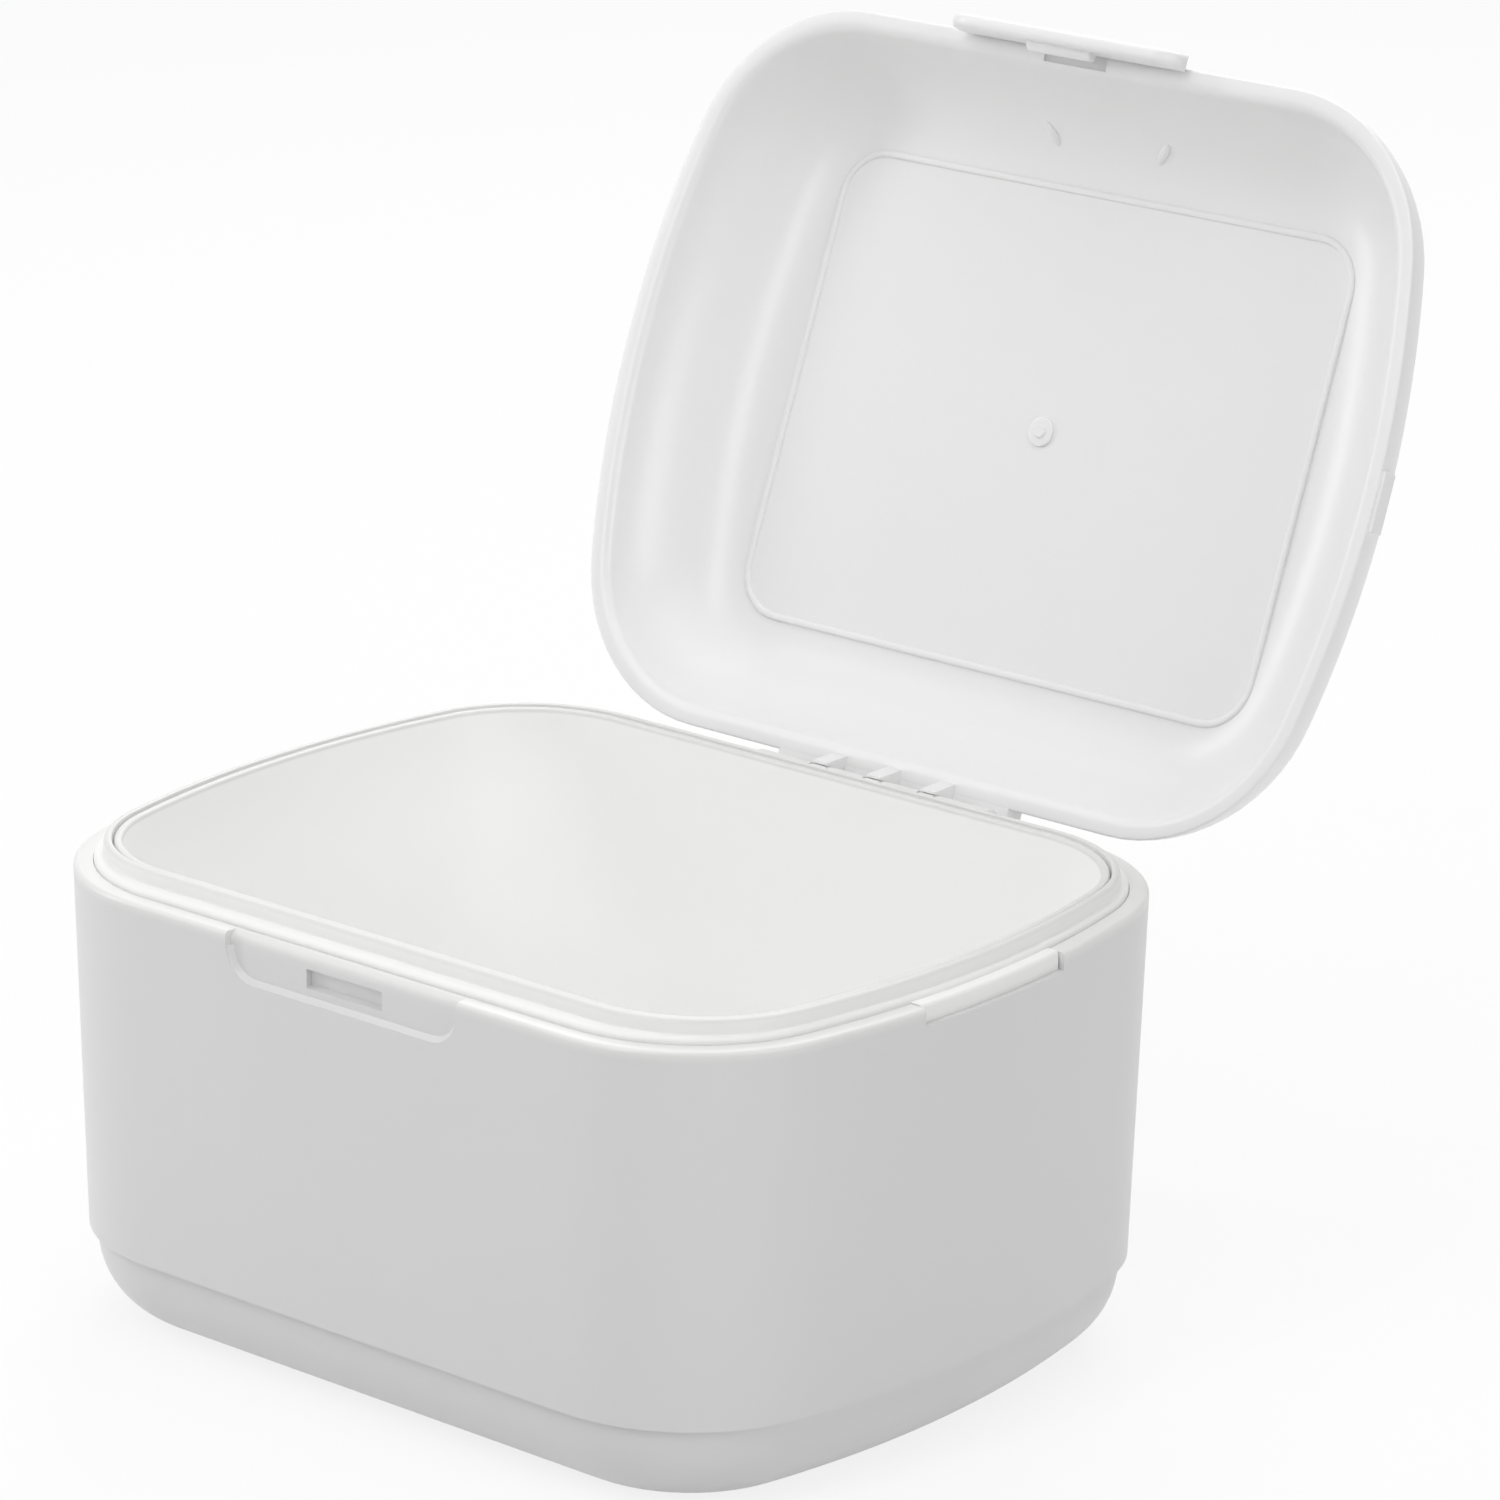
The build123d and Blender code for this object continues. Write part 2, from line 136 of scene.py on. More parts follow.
# Light from all round, and the lamps: name, place, aim and size in metres, and watts.
FILL_LIGHT = 0.19
LAMPS = (
    ("overhead_softbox", (0.0, -0.05, 0.75), (0, 0, 0.03), (0.9, 0.9), 3.3),
    ("back_softbox", (-0.3, 0.6, 0.6), (0, 0, 0.05), (0.6, 0.4), 2.6),
    ("left_softbox", (-0.75, -0.35, 0.35), (0, 0.03, 0.07), (0.12, 0.7), 1.9),
    ("right_softbox", (0.9, -0.1, 0.4), (0, 0, 0.05), (0.5, 0.5), 2.24),
    ("strip_light", (-0.014, -0.611, 0.5), (-0.038, 0.067, 0.077), (0.1, 0.45), 1.2),
)

# Camera: where it aims and from how far, its turns in degrees, its lens and sensor in mm.
AIM = Vector((18.7802, -0.7507, 65.266)) * MM
DISTANCE = 676.01 * MM
AZIMUTH, ELEVATION, ROLL = 39.872, 17.6153, 0.8244
FOCAL_LENGTH = 165.39
SENSOR_WIDTH = 36


def srgb(code):
    """Linear colour from an sRGB hex code."""
    parts = [int(code[i : i + 2], 16) / 255 for i in (1, 3, 5)]
    return [p / 12.92 if p <= 0.04045 else ((p + 0.055) / 1.055) ** 2.4 for p in parts]


# ------------------------------------------------------------------ shapes


def case_plan(inset):
    """Width, depth and corner radius of the case, moved in by inset."""
    return CASE_WIDTH - 2 * inset, CASE_DEPTH - 2 * inset, CORNER_RADIUS - inset


def lip_plan(inset):
    """Width, depth and corner radius of the tub's lip, moved in by inset."""
    return LIP_WIDTH - 2 * inset, LIP_DEPTH - 2 * inset, LIP_RADIUS - inset


def outline(bm, plan, level):
    """Closed loop of edges at a level: a quarter is spun from one vertex, then mirrored twice."""
    width, depth, radius = plan
    known = set(bm.edges)
    bow = SIDE_BOW - (CASE_WIDTH - width) / 2
    bow_x = width / 2 - bow
    swing = asin((depth / 2 - radius) / (bow - radius))
    corner = Vector((bow_x + (bow - radius) * cos(swing), depth / 2 - radius, level))
    middle = bm.verts.new((0, depth / 2, level))
    start = bmesh.ops.extrude_vert_indiv(bm, verts=[middle])["verts"]
    start[0].co.x = corner.x
    turn = bmesh.ops.spin(
        bm, geom=start, cent=corner, axis=UP, angle=swing - pi / 2, steps=CORNER_STEPS
    )
    bmesh.ops.spin(
        bm, geom=turn["geom_last"], cent=(bow_x, 0, level), axis=UP, angle=-swing, steps=SIDE_STEPS
    )
    for axis in "YX":
        edges = [e for e in bm.edges if e not in known]
        verts = list({v for e in edges for v in e.verts})
        bmesh.ops.mirror(bm, geom=verts + edges, merge_dist=MM / 1000, axis=axis)
    return [e for e in bm.edges if e not in known]


def skin(bm, loops):
    """Walls between each loop of edges and the next.

    Each pair is held well apart in height while it is joined, so that two loops at one level
    are still taken to run the same way round.
    """
    apart = 100 * MM
    for loop, following in pairwise(loops):
        verts = list({v for e in following for v in e.verts})
        bmesh.ops.translate(bm, verts=verts, vec=(0, 0, apart))
        bmesh.ops.bridge_loops(bm, edges=loop + following)
        bmesh.ops.translate(bm, verts=verts, vec=(0, 0, -apart))


def lay_face(bm, loop):
    """Flat face inside a loop of edges."""
    bmesh.ops.contextual_create(bm, geom=loop)


def round_edges(bm, edges, radius, segments):
    """Rounds edges over."""
    bmesh.ops.bevel(
        bm,
        geom=edges,
        offset=radius,
        offset_type="OFFSET",
        affect="EDGES",
        segments=segments,
        profile=0.5,
        material=-1,
        clamp_overlap=True,
    )


def block(bm, low, high):
    """Box between two opposite corners; its vertices."""
    low, high = Vector(low), Vector(high)
    size = high - low
    place = Matrix.Translation((low + high) / 2) @ Matrix.Diagonal((*size, 1))
    return bmesh.ops.create_cube(bm, size=1, matrix=place)["verts"]


def cylinder(bm, radius, length, place, segments=32):
    """Closed cylinder along the upright axis of a placing matrix."""
    bmesh.ops.create_cone(
        bm,
        cap_ends=True,
        segments=segments,
        radius1=radius,
        radius2=radius,
        depth=length,
        matrix=place,
    )


def hinge_rod(bm, radius, start, end):
    """Closed cylinder on the hinge's axis, from start to end along X."""
    middle = Matrix.Translation(((start + end) / 2, HINGE.y, HINGE.z))
    cylinder(bm, radius, end - start, middle @ Matrix.Rotation(pi / 2, 4, "Y"))


def prism(bm, points, shift):
    """Closed shape between a flat outline and the same outline moved by shift; its vertices."""
    verts = [bm.verts.new(point) for point in points]
    grown = bmesh.ops.extrude_face_region(bm, geom=[bm.faces.new(verts)])["geom"]
    moved = [g for g in grown if isinstance(g, bmesh.types.BMVert)]
    bmesh.ops.translate(bm, verts=moved, vec=shift)
    return [*verts, *moved]


def side_plate(bm, points, start, end):
    """Flat plate with a given side view, thick from start to end along X; its vertices."""
    return prism(bm, [(start, y, z) for y, z in points], (end - start, 0, 0))


def rounded_rectangle(bm, half_width, half_depth, radius, level):
    """Closed loop of edges at a level, round a rectangle with round corners."""
    known = set(bm.edges)
    verts = bmesh.ops.create_grid(bm, x_segments=1, y_segments=1, size=1)["verts"]
    for vert in verts:
        vert.co.x *= half_width
        vert.co.y *= half_depth
        vert.co.z = level
    bmesh.ops.delete(bm, geom=list(verts[0].link_faces), context="FACES_ONLY")
    bmesh.ops.bevel(
        bm,
        geom=verts,
        offset=radius,
        affect="VERTICES",
        segments=10,
        profile=0.5,
        material=-1,
    )
    return [e for e in bm.edges if e not in known]


def new_piece(name, bm):
    """Object from a finished shape, faces outwards."""
    bmesh.ops.recalc_face_normals(bm, faces=bm.faces)
    mesh = bpy.data.meshes.new(name)
    bm.to_mesh(mesh)
    bm.free()
    piece = bpy.data.objects.new(name, mesh)
    bpy.context.scene.collection.objects.link(piece)
    return piece


def carve(piece, operation, bm):
    """Joins another closed shape to a piece, or cuts it out of the piece."""
    tool = new_piece("carving_tool", bm)
    modifier = piece.modifiers.new("carve", "BOOLEAN")
    modifier.operation = operation
    modifier.solver = "EXACT"
    modifier.object = tool
    bake(piece)
    bpy.data.objects.remove(tool)


def bake(piece):
    """Turns the modifiers into mesh."""
    shown = piece.evaluated_get(bpy.context.evaluated_depsgraph_get())
    mesh = bpy.data.meshes.new_from_object(shown)
    piece.modifiers.clear()
    piece.data = mesh


def finish_piece(piece, rounding, body, node, material):
    """Rounds the sharp edges, smooths, ties the piece to its body and hides the CAD node it stands
    in for.
    """
    piece.data.shade_smooth()
    piece.data.set_sharp_from_angle(angle=SHARP_TURN)
    if rounding:
        modifier = piece.modifiers.new("rounded_edges", "BEVEL")
        modifier.width = rounding
        modifier.segments = 3
        modifier.limit_method = "ANGLE"
        modifier.angle_limit = ROUNDED_TURN
        modifier.harden_normals = True
    piece.data.materials.clear()
    piece.data.materials.append(material)
    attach(piece, body)
    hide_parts(node)


# --------------------------------------------------------------- materials


def add_node(tree, kind, settings=None, links=None):
    """Adds a node; settings are its sockets' values or its options, links feed its sockets."""
    node = tree.nodes.new(kind)
    for key, value in (settings or {}).items():
        if isinstance(key, int) or key in node.inputs:
            node.inputs[key].default_value = value
        else:
            setattr(node, key, value)
    for key, source in (links or {}).items():
        tree.links.new(source, node.inputs[key])
    return node


def moulded_plastic(name, colour, roughness, ior, cloud, cloud_mm, wave, rim=None):
    """Injection-moulded plastic: cloudy flow and faint sink waves under a smooth skin.

    cloud is how far the tone drifts, cloud_mm how wide the drifts are, wave a height in mm.
    rim is a level, a colour and a depth in mm: the plastic turns to that colour over the depth
    below the level, which paints light on a top edge: a paler colour is a painted highlight, a
    greyer one painted shade.
    """
    material = bpy.data.materials.new(name)
    material.use_nodes = True
    tree = material.node_tree
    tree.nodes.clear()
    place = add_node(tree, "ShaderNodeTexCoord").outputs["Object"]
    flow = add_node(
        tree,
        "ShaderNodeTexNoise",
        {"Scale": 1 / (cloud_mm * MM), "Detail": 0.0},
        {"Vector": place},
    )
    drift = add_node(
        tree,
        "ShaderNodeMapRange",
        {"To Min": 1 - cloud, "To Max": 1.0},
        {"Value": flow.outputs["Fac"]},
    )
    tint = add_node(
        tree,
        "ShaderNodeMix",
        {"data_type": "RGBA", "blend_type": "MULTIPLY", 0: 1.0, 6: (*colour, 1)},
        {7: drift.outputs["Result"]},
    )
    tone = tint.outputs[2]
    # Painted light: below the level the tone turns to the rim colour, a painted highlight if
    # paler, painted shade if greyer.
    if rim:
        level, edge, painted_depth = rim
        height = add_node(tree, "ShaderNodeSeparateXYZ", links={0: place})
        rise = add_node(
            tree,
            "ShaderNodeMapRange",
            {
                "From Min": level - painted_depth * MM,
                "From Max": level,
                "interpolation_type": "SMOOTHSTEP",
            },
            {"Value": height.outputs["Z"]},
        )
        tone = add_node(
            tree,
            "ShaderNodeMix",
            {"data_type": "RGBA", 7: (*edge, 1)},
            {0: rise.outputs["Result"], 6: tone},
        ).outputs[2]
    # Polish is uneven by a hundredth, in patches about 30 mm wide.
    patch_size, uneven = 30 * MM, 0.01
    patches = add_node(
        tree, "ShaderNodeTexNoise", {"Scale": 1 / patch_size, "Detail": 0.0}, {"Vector": place}
    )
    polish = add_node(
        tree,
        "ShaderNodeMapRange",
        {"To Min": roughness - uneven, "To Max": roughness + uneven},
        {"Value": patches.outputs["Fac"]},
    )
    # Sink waves are some 25 mm long and hundredths of a millimetre high.
    wave_length = 25 * MM
    waves = add_node(
        tree, "ShaderNodeTexNoise", {"Scale": 1 / wave_length, "Detail": 0.0}, {"Vector": place}
    )
    sink = add_node(
        tree,
        "ShaderNodeBump",
        {"Strength": 1.0, "Distance": wave * MM},
        {"Height": waves.outputs["Fac"]},
    )
    shader = add_node(
        tree,
        "ShaderNodeBsdfPrincipled",
        {"IOR": ior},
        {
            "Base Color": tone,
            "Roughness": polish.outputs["Result"],
            "Normal": sink.outputs["Normal"],
        },
    )
    add_node(tree, "ShaderNodeOutputMaterial", links={"Surface": shader.outputs["BSDF"]})
    return material


def sleeve_abs(colours):
    """Satin ABS of the sleeve: an even white with a wide, soft shine; the top of the rim is
    painted paler, a painted highlight where light from above falls.
    """
    return moulded_plastic(
        "sleeve_abs",
        colours.shell,
        roughness=0.34,
        ior=ABS_IOR,
        cloud=0.006,
        cloud_mm=40,
        wave=0.02,
        # Painted highlight: the top 1.2 mm of the rim takes the paler rim colour.
        rim=(RIM_LEVEL - 0.1 * MM, colours.rim, 1.2),
    )


def base_polypropylene(colours):
    """Polypropylene of the base: a little duller than the sleeve above it."""
    return moulded_plastic(
        "base_polypropylene",
        colours.base,
        roughness=0.38,
        ior=POLYPROPYLENE_IOR,
        cloud=0.008,
        cloud_mm=40,
        wave=0.02,
    )


def tub_polypropylene(colours):
    """Milky polypropylene of the tub: matt, with painted shade greying the top of its thin lip."""
    return moulded_plastic(
        "tub_polypropylene",
        colours.tub,
        roughness=0.45,
        ior=POLYPROPYLENE_IOR,
        cloud=0.006,
        cloud_mm=35,
        wave=0.015,
        # Painted shade: the top 0.4 mm of the lip takes the greyer lip colour.
        rim=(LIP_LEVEL - 0.1 * MM, colours.lip, 0.4),
    )


def basket_polypropylene(colours):
    """Whitest polypropylene, of the basket: matt, with painted shade greying the top of its thin
    rim.
    """
    return moulded_plastic(
        "basket_polypropylene",
        colours.basket,
        roughness=0.45,
        ior=POLYPROPYLENE_IOR,
        cloud=0.008,
        cloud_mm=35,
        wave=0.015,
        # Painted shade: the top of the basket's rim takes the greyer lip colour.
        rim=(LIP_LEVEL - 0.35 * MM, colours.lip, 0.4),
    )


def lid_polypropylene(colours):
    """Polypropylene of the lid and the latch: the smoothest skin, with long soft highlights."""
    return moulded_plastic(
        "lid_polypropylene",
        colours.lid,
        roughness=0.3,
        ior=POLYPROPYLENE_IOR,
        cloud=0.008,
        cloud_mm=35,
        wave=0.03,
    )


def pin_steel(colours):
    """Drawn stainless wire: fine lines along its length give a soft streaked shine."""
    material = bpy.data.materials.new("pin_steel")
    material.use_nodes = True
    tree = material.node_tree
    tree.nodes.clear()
    place = add_node(tree, "ShaderNodeTexCoord").outputs["Object"]
    line_length, line_gap = 8 * MM, 0.08 * MM
    along = add_node(
        tree,
        "ShaderNodeMapping",
        {"Scale": (1 / line_length, 1 / line_gap, 1 / line_gap)},
        {"Vector": place},
    )
    lines = add_node(
        tree, "ShaderNodeTexNoise", {"Scale": 1.0, "Detail": 2.0}, {"Vector": along.outputs[0]}
    )
    polish = add_node(
        tree,
        "ShaderNodeMapRange",
        {"To Min": 0.22, "To Max": 0.42},
        {"Value": lines.outputs["Fac"]},
    )
    shader = add_node(
        tree,
        "ShaderNodeBsdfPrincipled",
        {"Base Color": (*colours.steel, 1), "Metallic": 1.0},
        {"Roughness": polish.outputs["Result"]},
    )
    add_node(tree, "ShaderNodeOutputMaterial", links={"Surface": shader.outputs["BSDF"]})
    return material


# ---------------------------------------------------------------- settings


def length_property(name, description, default, least):
    """Length that a user would change; default and least are in mm."""
    return FloatProperty(
        name=name,
        description=description,
        default=default * MM,
        min=least * MM,
        subtype="DISTANCE",
        unit="LENGTH",
    )


class CaseSizes(bpy.types.PropertyGroup):
    """Sizes that a user would change."""

    sleeve_wall: length_property(
        "Sleeve wall", "Thickness of the sleeve's wall at the rim", 2.0, 0.8
    )
    rim_rounding: length_property(
        "Rim rounding", "Radius on the outer edge of the sleeve's rim", 0.5, 0.05
    )
    fine_rounding: length_property(
        "Fine rounding", "Radius on fine edges of the base, the lid and the knuckles", 0.2, 0.05
    )
    base_rounding: length_property(
        "Base rounding", "Radius of the large rounding under the base", 8.6, 1.0
    )
    lid_rim_wall: length_property(
        "Lid rim wall", "Thickness of the lid's wall at its rim", 2.2, 1.6
    )
    lid_wall: length_property("Lid wall", "Thickness of the lid's panel", 1.7, 0.8)
    bead_height: length_property(
        "Panel bead height", "How far the bead stands out of the lid's panel", 0.35, 0.05
    )
    drain_hole: length_property(
        "Drain hole", "Diameter of the holes in the basket's floor", 3.6, 1.0
    )
    dome_steps: IntProperty(
        name="Dome steps",
        description="Sections in the lid's dome",
        default=16,
        min=4,
        max=48,
    )


def colour_property(name, description, code):
    """Colour that a user would change."""
    return FloatVectorProperty(
        name=name, description=description, default=srgb(code), subtype="COLOR", min=0, max=1
    )


class CaseColours(bpy.types.PropertyGroup):
    """Colours that a user would change."""

    shell: colour_property("Sleeve", "White plastic of the sleeve", "#D8D8D8")
    # Painted highlight: paler colour painted along the top of the sleeve's rim.
    rim: colour_property("Rim", "Paler tone of the sleeve's thin rim", "#E2E2E1")
    # Painted shade: greyer colour painted along the tops of the tub's lip and the basket's rim.
    lip: colour_property("Lip", "Tone of the tub's and the basket's thin lips", "#DDDDDC")
    base: colour_property("Base", "White plastic of the base", "#D8D8D8")
    tub: colour_property("Tub", "White plastic of the soaking tub", "#F0F0EF")
    basket: colour_property("Basket", "White plastic of the basket", "#F8F8F7")
    lid: colour_property("Lid", "White plastic of the lid and latch", "#EBEBEB")
    steel: colour_property("Steel", "Stainless wire of the hinge pin", "#A9A9AB")
    floor: colour_property("Floor", "Paper that the case stands on", "#F2F2F2")


# ------------------------------------------------------------------ pieces


class BuildSleeve(bpy.types.Operator):
    """Build the outer sleeve with its recess, slot, notches and hinge knuckles"""

    bl_idname = "soaking_case.sleeve"
    bl_label = "Sleeve"

    def execute(self, context):
        sizes = context.scene.case_sizes
        bm = bmesh.new()
        loops = [
            outline(bm, case_plan(SLEEVE_DRAFT), PARTING_LEVEL),
            outline(bm, case_plan(0), RIM_LEVEL),
            outline(bm, case_plan(sizes.sleeve_wall), RIM_LEVEL),
            outline(bm, case_plan(SLEEVE_DRAFT + sizes.sleeve_wall), PARTING_LEVEL),
        ]
        skin(bm, [*loops, loops[0]])
        outer_rim = loops[1]
        round_edges(bm, outer_rim, sizes.rim_rounding, segments=6)
        sleeve = new_piece("sleeve", bm)
        self.cut_ear_notches(sleeve)
        self.cut_recess(sleeve)
        self.scoop_rim(sleeve)
        self.cut_slot_and_gusset_notches(sleeve)
        shell = sleeve_abs(context.scene.case_colours)
        cut_rounding = 0.12 * MM
        finish_piece(sleeve, cut_rounding, "case", "outer_sleeve", shell)
        knuckles = self.knuckles(context)
        finish_piece(knuckles, sizes.fine_rounding, "case", "outer_sleeve", shell)
        return {"FINISHED"}

    def cut_ear_notches(self, sleeve):
        """Notches in the rim for the tub's ears, through both sides at once."""
        bm = bmesh.new()
        block(
            bm,
            (-CASE_WIDTH, -EAR_NOTCH_WIDTH / 2, EAR_NOTCH_FOOT),
            (CASE_WIDTH, EAR_NOTCH_WIDTH / 2, RIM_LEVEL + OVERSHOOT),
        )
        carve(sleeve, "DIFFERENCE", bm)

    def cut_recess(self, sleeve):
        """Recess for the latch, its lower corners round and its inner edges chamfered."""
        foot = RIM_LEVEL - 4.85 * MM
        chamfer = 0.5 * MM
        bm = bmesh.new()
        block(
            bm,
            (-RECESS_WIDTH / 2, FRONT - OVERSHOOT, foot),
            (RECESS_WIDTH / 2, RECESS_FACE, RIM_LEVEL + OVERSHOOT),
        )
        corners = [
            e
            for e in bm.edges
            if abs(e.verts[0].co.y - e.verts[1].co.y) > MM and e.verts[0].co.z < RIM_LEVEL
        ]
        round_edges(bm, corners, LATCH_CORNER, LATCH_CORNER_STEPS)
        inner = [
            e
            for e in bm.edges
            if min(v.co.y for v in e.verts) > RECESS_FACE - TOUCH
            and min(v.co.z for v in e.verts) < RIM_LEVEL
        ]
        round_edges(bm, inner, chamfer, segments=1)
        carve(sleeve, "DIFFERENCE", bm)

    def scoop_rim(self, sleeve):
        """The rim runs down into the recess in a quarter of an ellipse."""
        across, down, steps = 1.0 * MM, 1.4 * MM, 8
        turns = [pi / 2 / steps * step for step in range(steps + 1)]
        scoop = [
            (RECESS_FACE + across * (1 - cos(t)), RIM_LEVEL - down * (1 - sin(t))) for t in turns
        ]
        bm = bmesh.new()
        side_plate(
            bm,
            (
                (FRONT - OVERSHOOT, RIM_LEVEL - down),
                *scoop,
                (RECESS_FACE + across, RIM_LEVEL + OVERSHOOT),
                (FRONT - OVERSHOOT, RIM_LEVEL + OVERSHOOT),
            ),
            -RECESS_WIDTH / 2,
            RECESS_WIDTH / 2,
        )
        carve(sleeve, "DIFFERENCE", bm)

    def cut_slot_and_gusset_notches(self, sleeve):
        """Blind slot for the hook, its ledge sloping, and rim notches for the lid's gussets."""
        slot_foot, slot_top = HOOK_LEVEL - MM, HOOK_LEVEL + MM
        slot_width = 10 * MM
        slot_back = RECESS_FACE + 0.75 * MM
        ledge_rise = 0.25 * MM
        bm = bmesh.new()
        side_plate(
            bm,
            (
                (FRONT - OVERSHOOT, slot_foot),
                (RECESS_FACE, slot_foot),
                (slot_back, slot_foot + ledge_rise),
                (slot_back, slot_top),
                (FRONT - OVERSHOOT, slot_top),
            ),
            -slot_width / 2,
            slot_width / 2,
        )
        notch_front = BACK - 3.03 * MM
        notch_foot = GUSSET_LEVEL - 0.35 * MM
        half = ARM_WIDTH / 2 + GUSSET_SIDE_GAP
        for place in ARM_PLACES:
            block(
                bm,
                (place - half, notch_front, notch_foot),
                (place + half, BACK + OVERSHOOT, RIM_LEVEL + OVERSHOOT),
            )
        carve(sleeve, "DIFFERENCE", bm)

    def knuckles(self, context):
        """Knuckles on webs, between the arms of the lid."""
        edges = [-HINGE_WIDTH / 2]
        for place in ARM_PLACES:
            edges += [place - ARM_WIDTH / 2 - ARM_SIDE_GAP, place + ARM_WIDTH / 2 + ARM_SIDE_GAP]
        edges.append(HINGE_WIDTH / 2)
        wall = BACK - SLEEVE_DRAFT
        top = HINGE.z + KNUCKLE_RADIUS
        web_foot = HINGE.z - KNUCKLE_RADIUS - 6 * MM
        spans = []
        for start, end in zip(edges[::2], edges[1::2]):
            bm = bmesh.new()
            hinge_rod(bm, KNUCKLE_RADIUS, start, end)
            span = new_piece("sleeve_knuckles", bm)
            web = bmesh.new()
            side_plate(
                web,
                (
                    (wall, web_foot),
                    (HINGE.y + KNUCKLE_RADIUS, HINGE.z),
                    (HINGE.y, top),
                    (wall, top),
                ),
                start,
                end,
            )
            carve(span, "UNION", web)
            bore = bmesh.new()
            hinge_rod(bore, BORE_RADIUS, start - MM, end + MM)
            carve(span, "DIFFERENCE", bore)
            spans.append(span)
        with context.temp_override(active_object=spans[0], selected_editable_objects=spans):
            bpy.ops.object.join()
        return spans[0]


class BuildBase(bpy.types.Operator):
    """Build the base bowl under the sleeve"""

    bl_idname = "soaking_case.base"
    bl_label = "Base"

    def execute(self, context):
        sizes = context.scene.case_sizes
        step = PARTING_LEVEL - 0.02 * MM
        outer, spigot, inner = 1.92 * MM, 2.83 * MM, 4.03 * MM
        spigot_top = PARTING_LEVEL + 3 * MM
        bowl_floor, bowl_rounding = 1.8 * MM, 6.4 * MM
        bm = bmesh.new()
        loops = [
            outline(bm, case_plan(outer), 0),
            outline(bm, case_plan(outer), step),
            outline(bm, case_plan(spigot), step),
            outline(bm, case_plan(spigot), spigot_top),
            outline(bm, case_plan(inner), spigot_top),
            outline(bm, case_plan(inner), bowl_floor),
        ]
        skin(bm, loops)
        lay_face(bm, loops[0])
        lay_face(bm, loops[-1])
        round_edges(bm, loops[0], sizes.base_rounding, segments=14)
        round_edges(bm, loops[-1], bowl_rounding, segments=10)
        base = new_piece("base_bowl_shell", bm)
        material = base_polypropylene(context.scene.case_colours)
        finish_piece(base, sizes.fine_rounding, "case", "base_bowl", material)
        return {"FINISHED"}


class BuildTub(bpy.types.Operator):
    """Build the soaking tub with its ring, ears and raised lip"""

    bl_idname = "soaking_case.tub"
    bl_label = "Soaking tub"

    def execute(self, context):
        ring_foot = RIM_LEVEL - 1.95 * MM
        ring_inset = 2.06 * MM
        bottom_rounding = 9 * MM
        bm = bmesh.new()
        loops = [
            outline(bm, lip_plan(TUB_DRAFT), TUB_BOTTOM),
            outline(bm, lip_plan(0), ring_foot),
            outline(bm, case_plan(ring_inset), ring_foot),
            outline(bm, case_plan(ring_inset), RING_LEVEL),
            outline(bm, lip_plan(0), RING_LEVEL),
            outline(bm, lip_plan(0), LIP_LEVEL),
            outline(bm, lip_plan(LIP_WALL), LIP_LEVEL),
            outline(bm, lip_plan(LIP_WALL + TUB_DRAFT), TUB_FLOOR),
        ]
        skin(bm, loops)
        lay_face(bm, loops[0])
        lay_face(bm, loops[-1])
        bottom, _, _, ring_edge, lip_foot, lip_outer, lip_inner, floor = loops
        round_edges(bm, ring_edge, radius=0.5 * MM, segments=5)
        round_edges(bm, lip_foot, radius=0.55 * MM, segments=6)
        round_edges(bm, lip_outer, radius=0.5 * MM, segments=6)
        round_edges(bm, lip_inner, radius=0.15 * MM, segments=3)
        round_edges(bm, bottom, bottom_rounding, segments=12)
        round_edges(bm, floor, bottom_rounding - LIP_WALL, segments=12)
        tub = new_piece("tub", bm)
        ears = self.ears()
        ear_rounding = 0.05 * MM
        material = tub_polypropylene(context.scene.case_colours)
        finish_piece(tub, 0, "tub", "soaking_tub", material)
        finish_piece(ears, ear_rounding, "tub", "soaking_tub", material)
        return {"FINISHED"}

    def ears(self):
        """Ears: what is left of a wider ring between the two sides of each notch."""
        seat = EAR_NOTCH_FOOT - TOUCH
        top = RIM_LEVEL + 0.15 * MM
        outer, inner = 0.7 * MM, 2.6 * MM
        top_rounding = 0.45 * MM
        bm = bmesh.new()
        ring = [
            outline(bm, case_plan(outer), seat),
            outline(bm, case_plan(outer), top),
            outline(bm, case_plan(inner), top),
            outline(bm, case_plan(inner), seat),
        ]
        skin(bm, [*ring, ring[0]])
        round_edges(bm, ring[1], top_rounding, segments=4)
        for side in (-1, 1):
            cut = bmesh.ops.bisect_plane(
                bm,
                geom=bm.verts[:] + bm.edges[:] + bm.faces[:],
                plane_co=(0, side * EAR_WIDTH / 2, 0),
                plane_no=(0, side, 0),
                clear_outer=True,
            )
            rims = [g for g in cut["geom_cut"] if isinstance(g, bmesh.types.BMEdge)]
            bmesh.ops.holes_fill(bm, edges=rims, sides=0)
        return new_piece("tub_ears", bm)


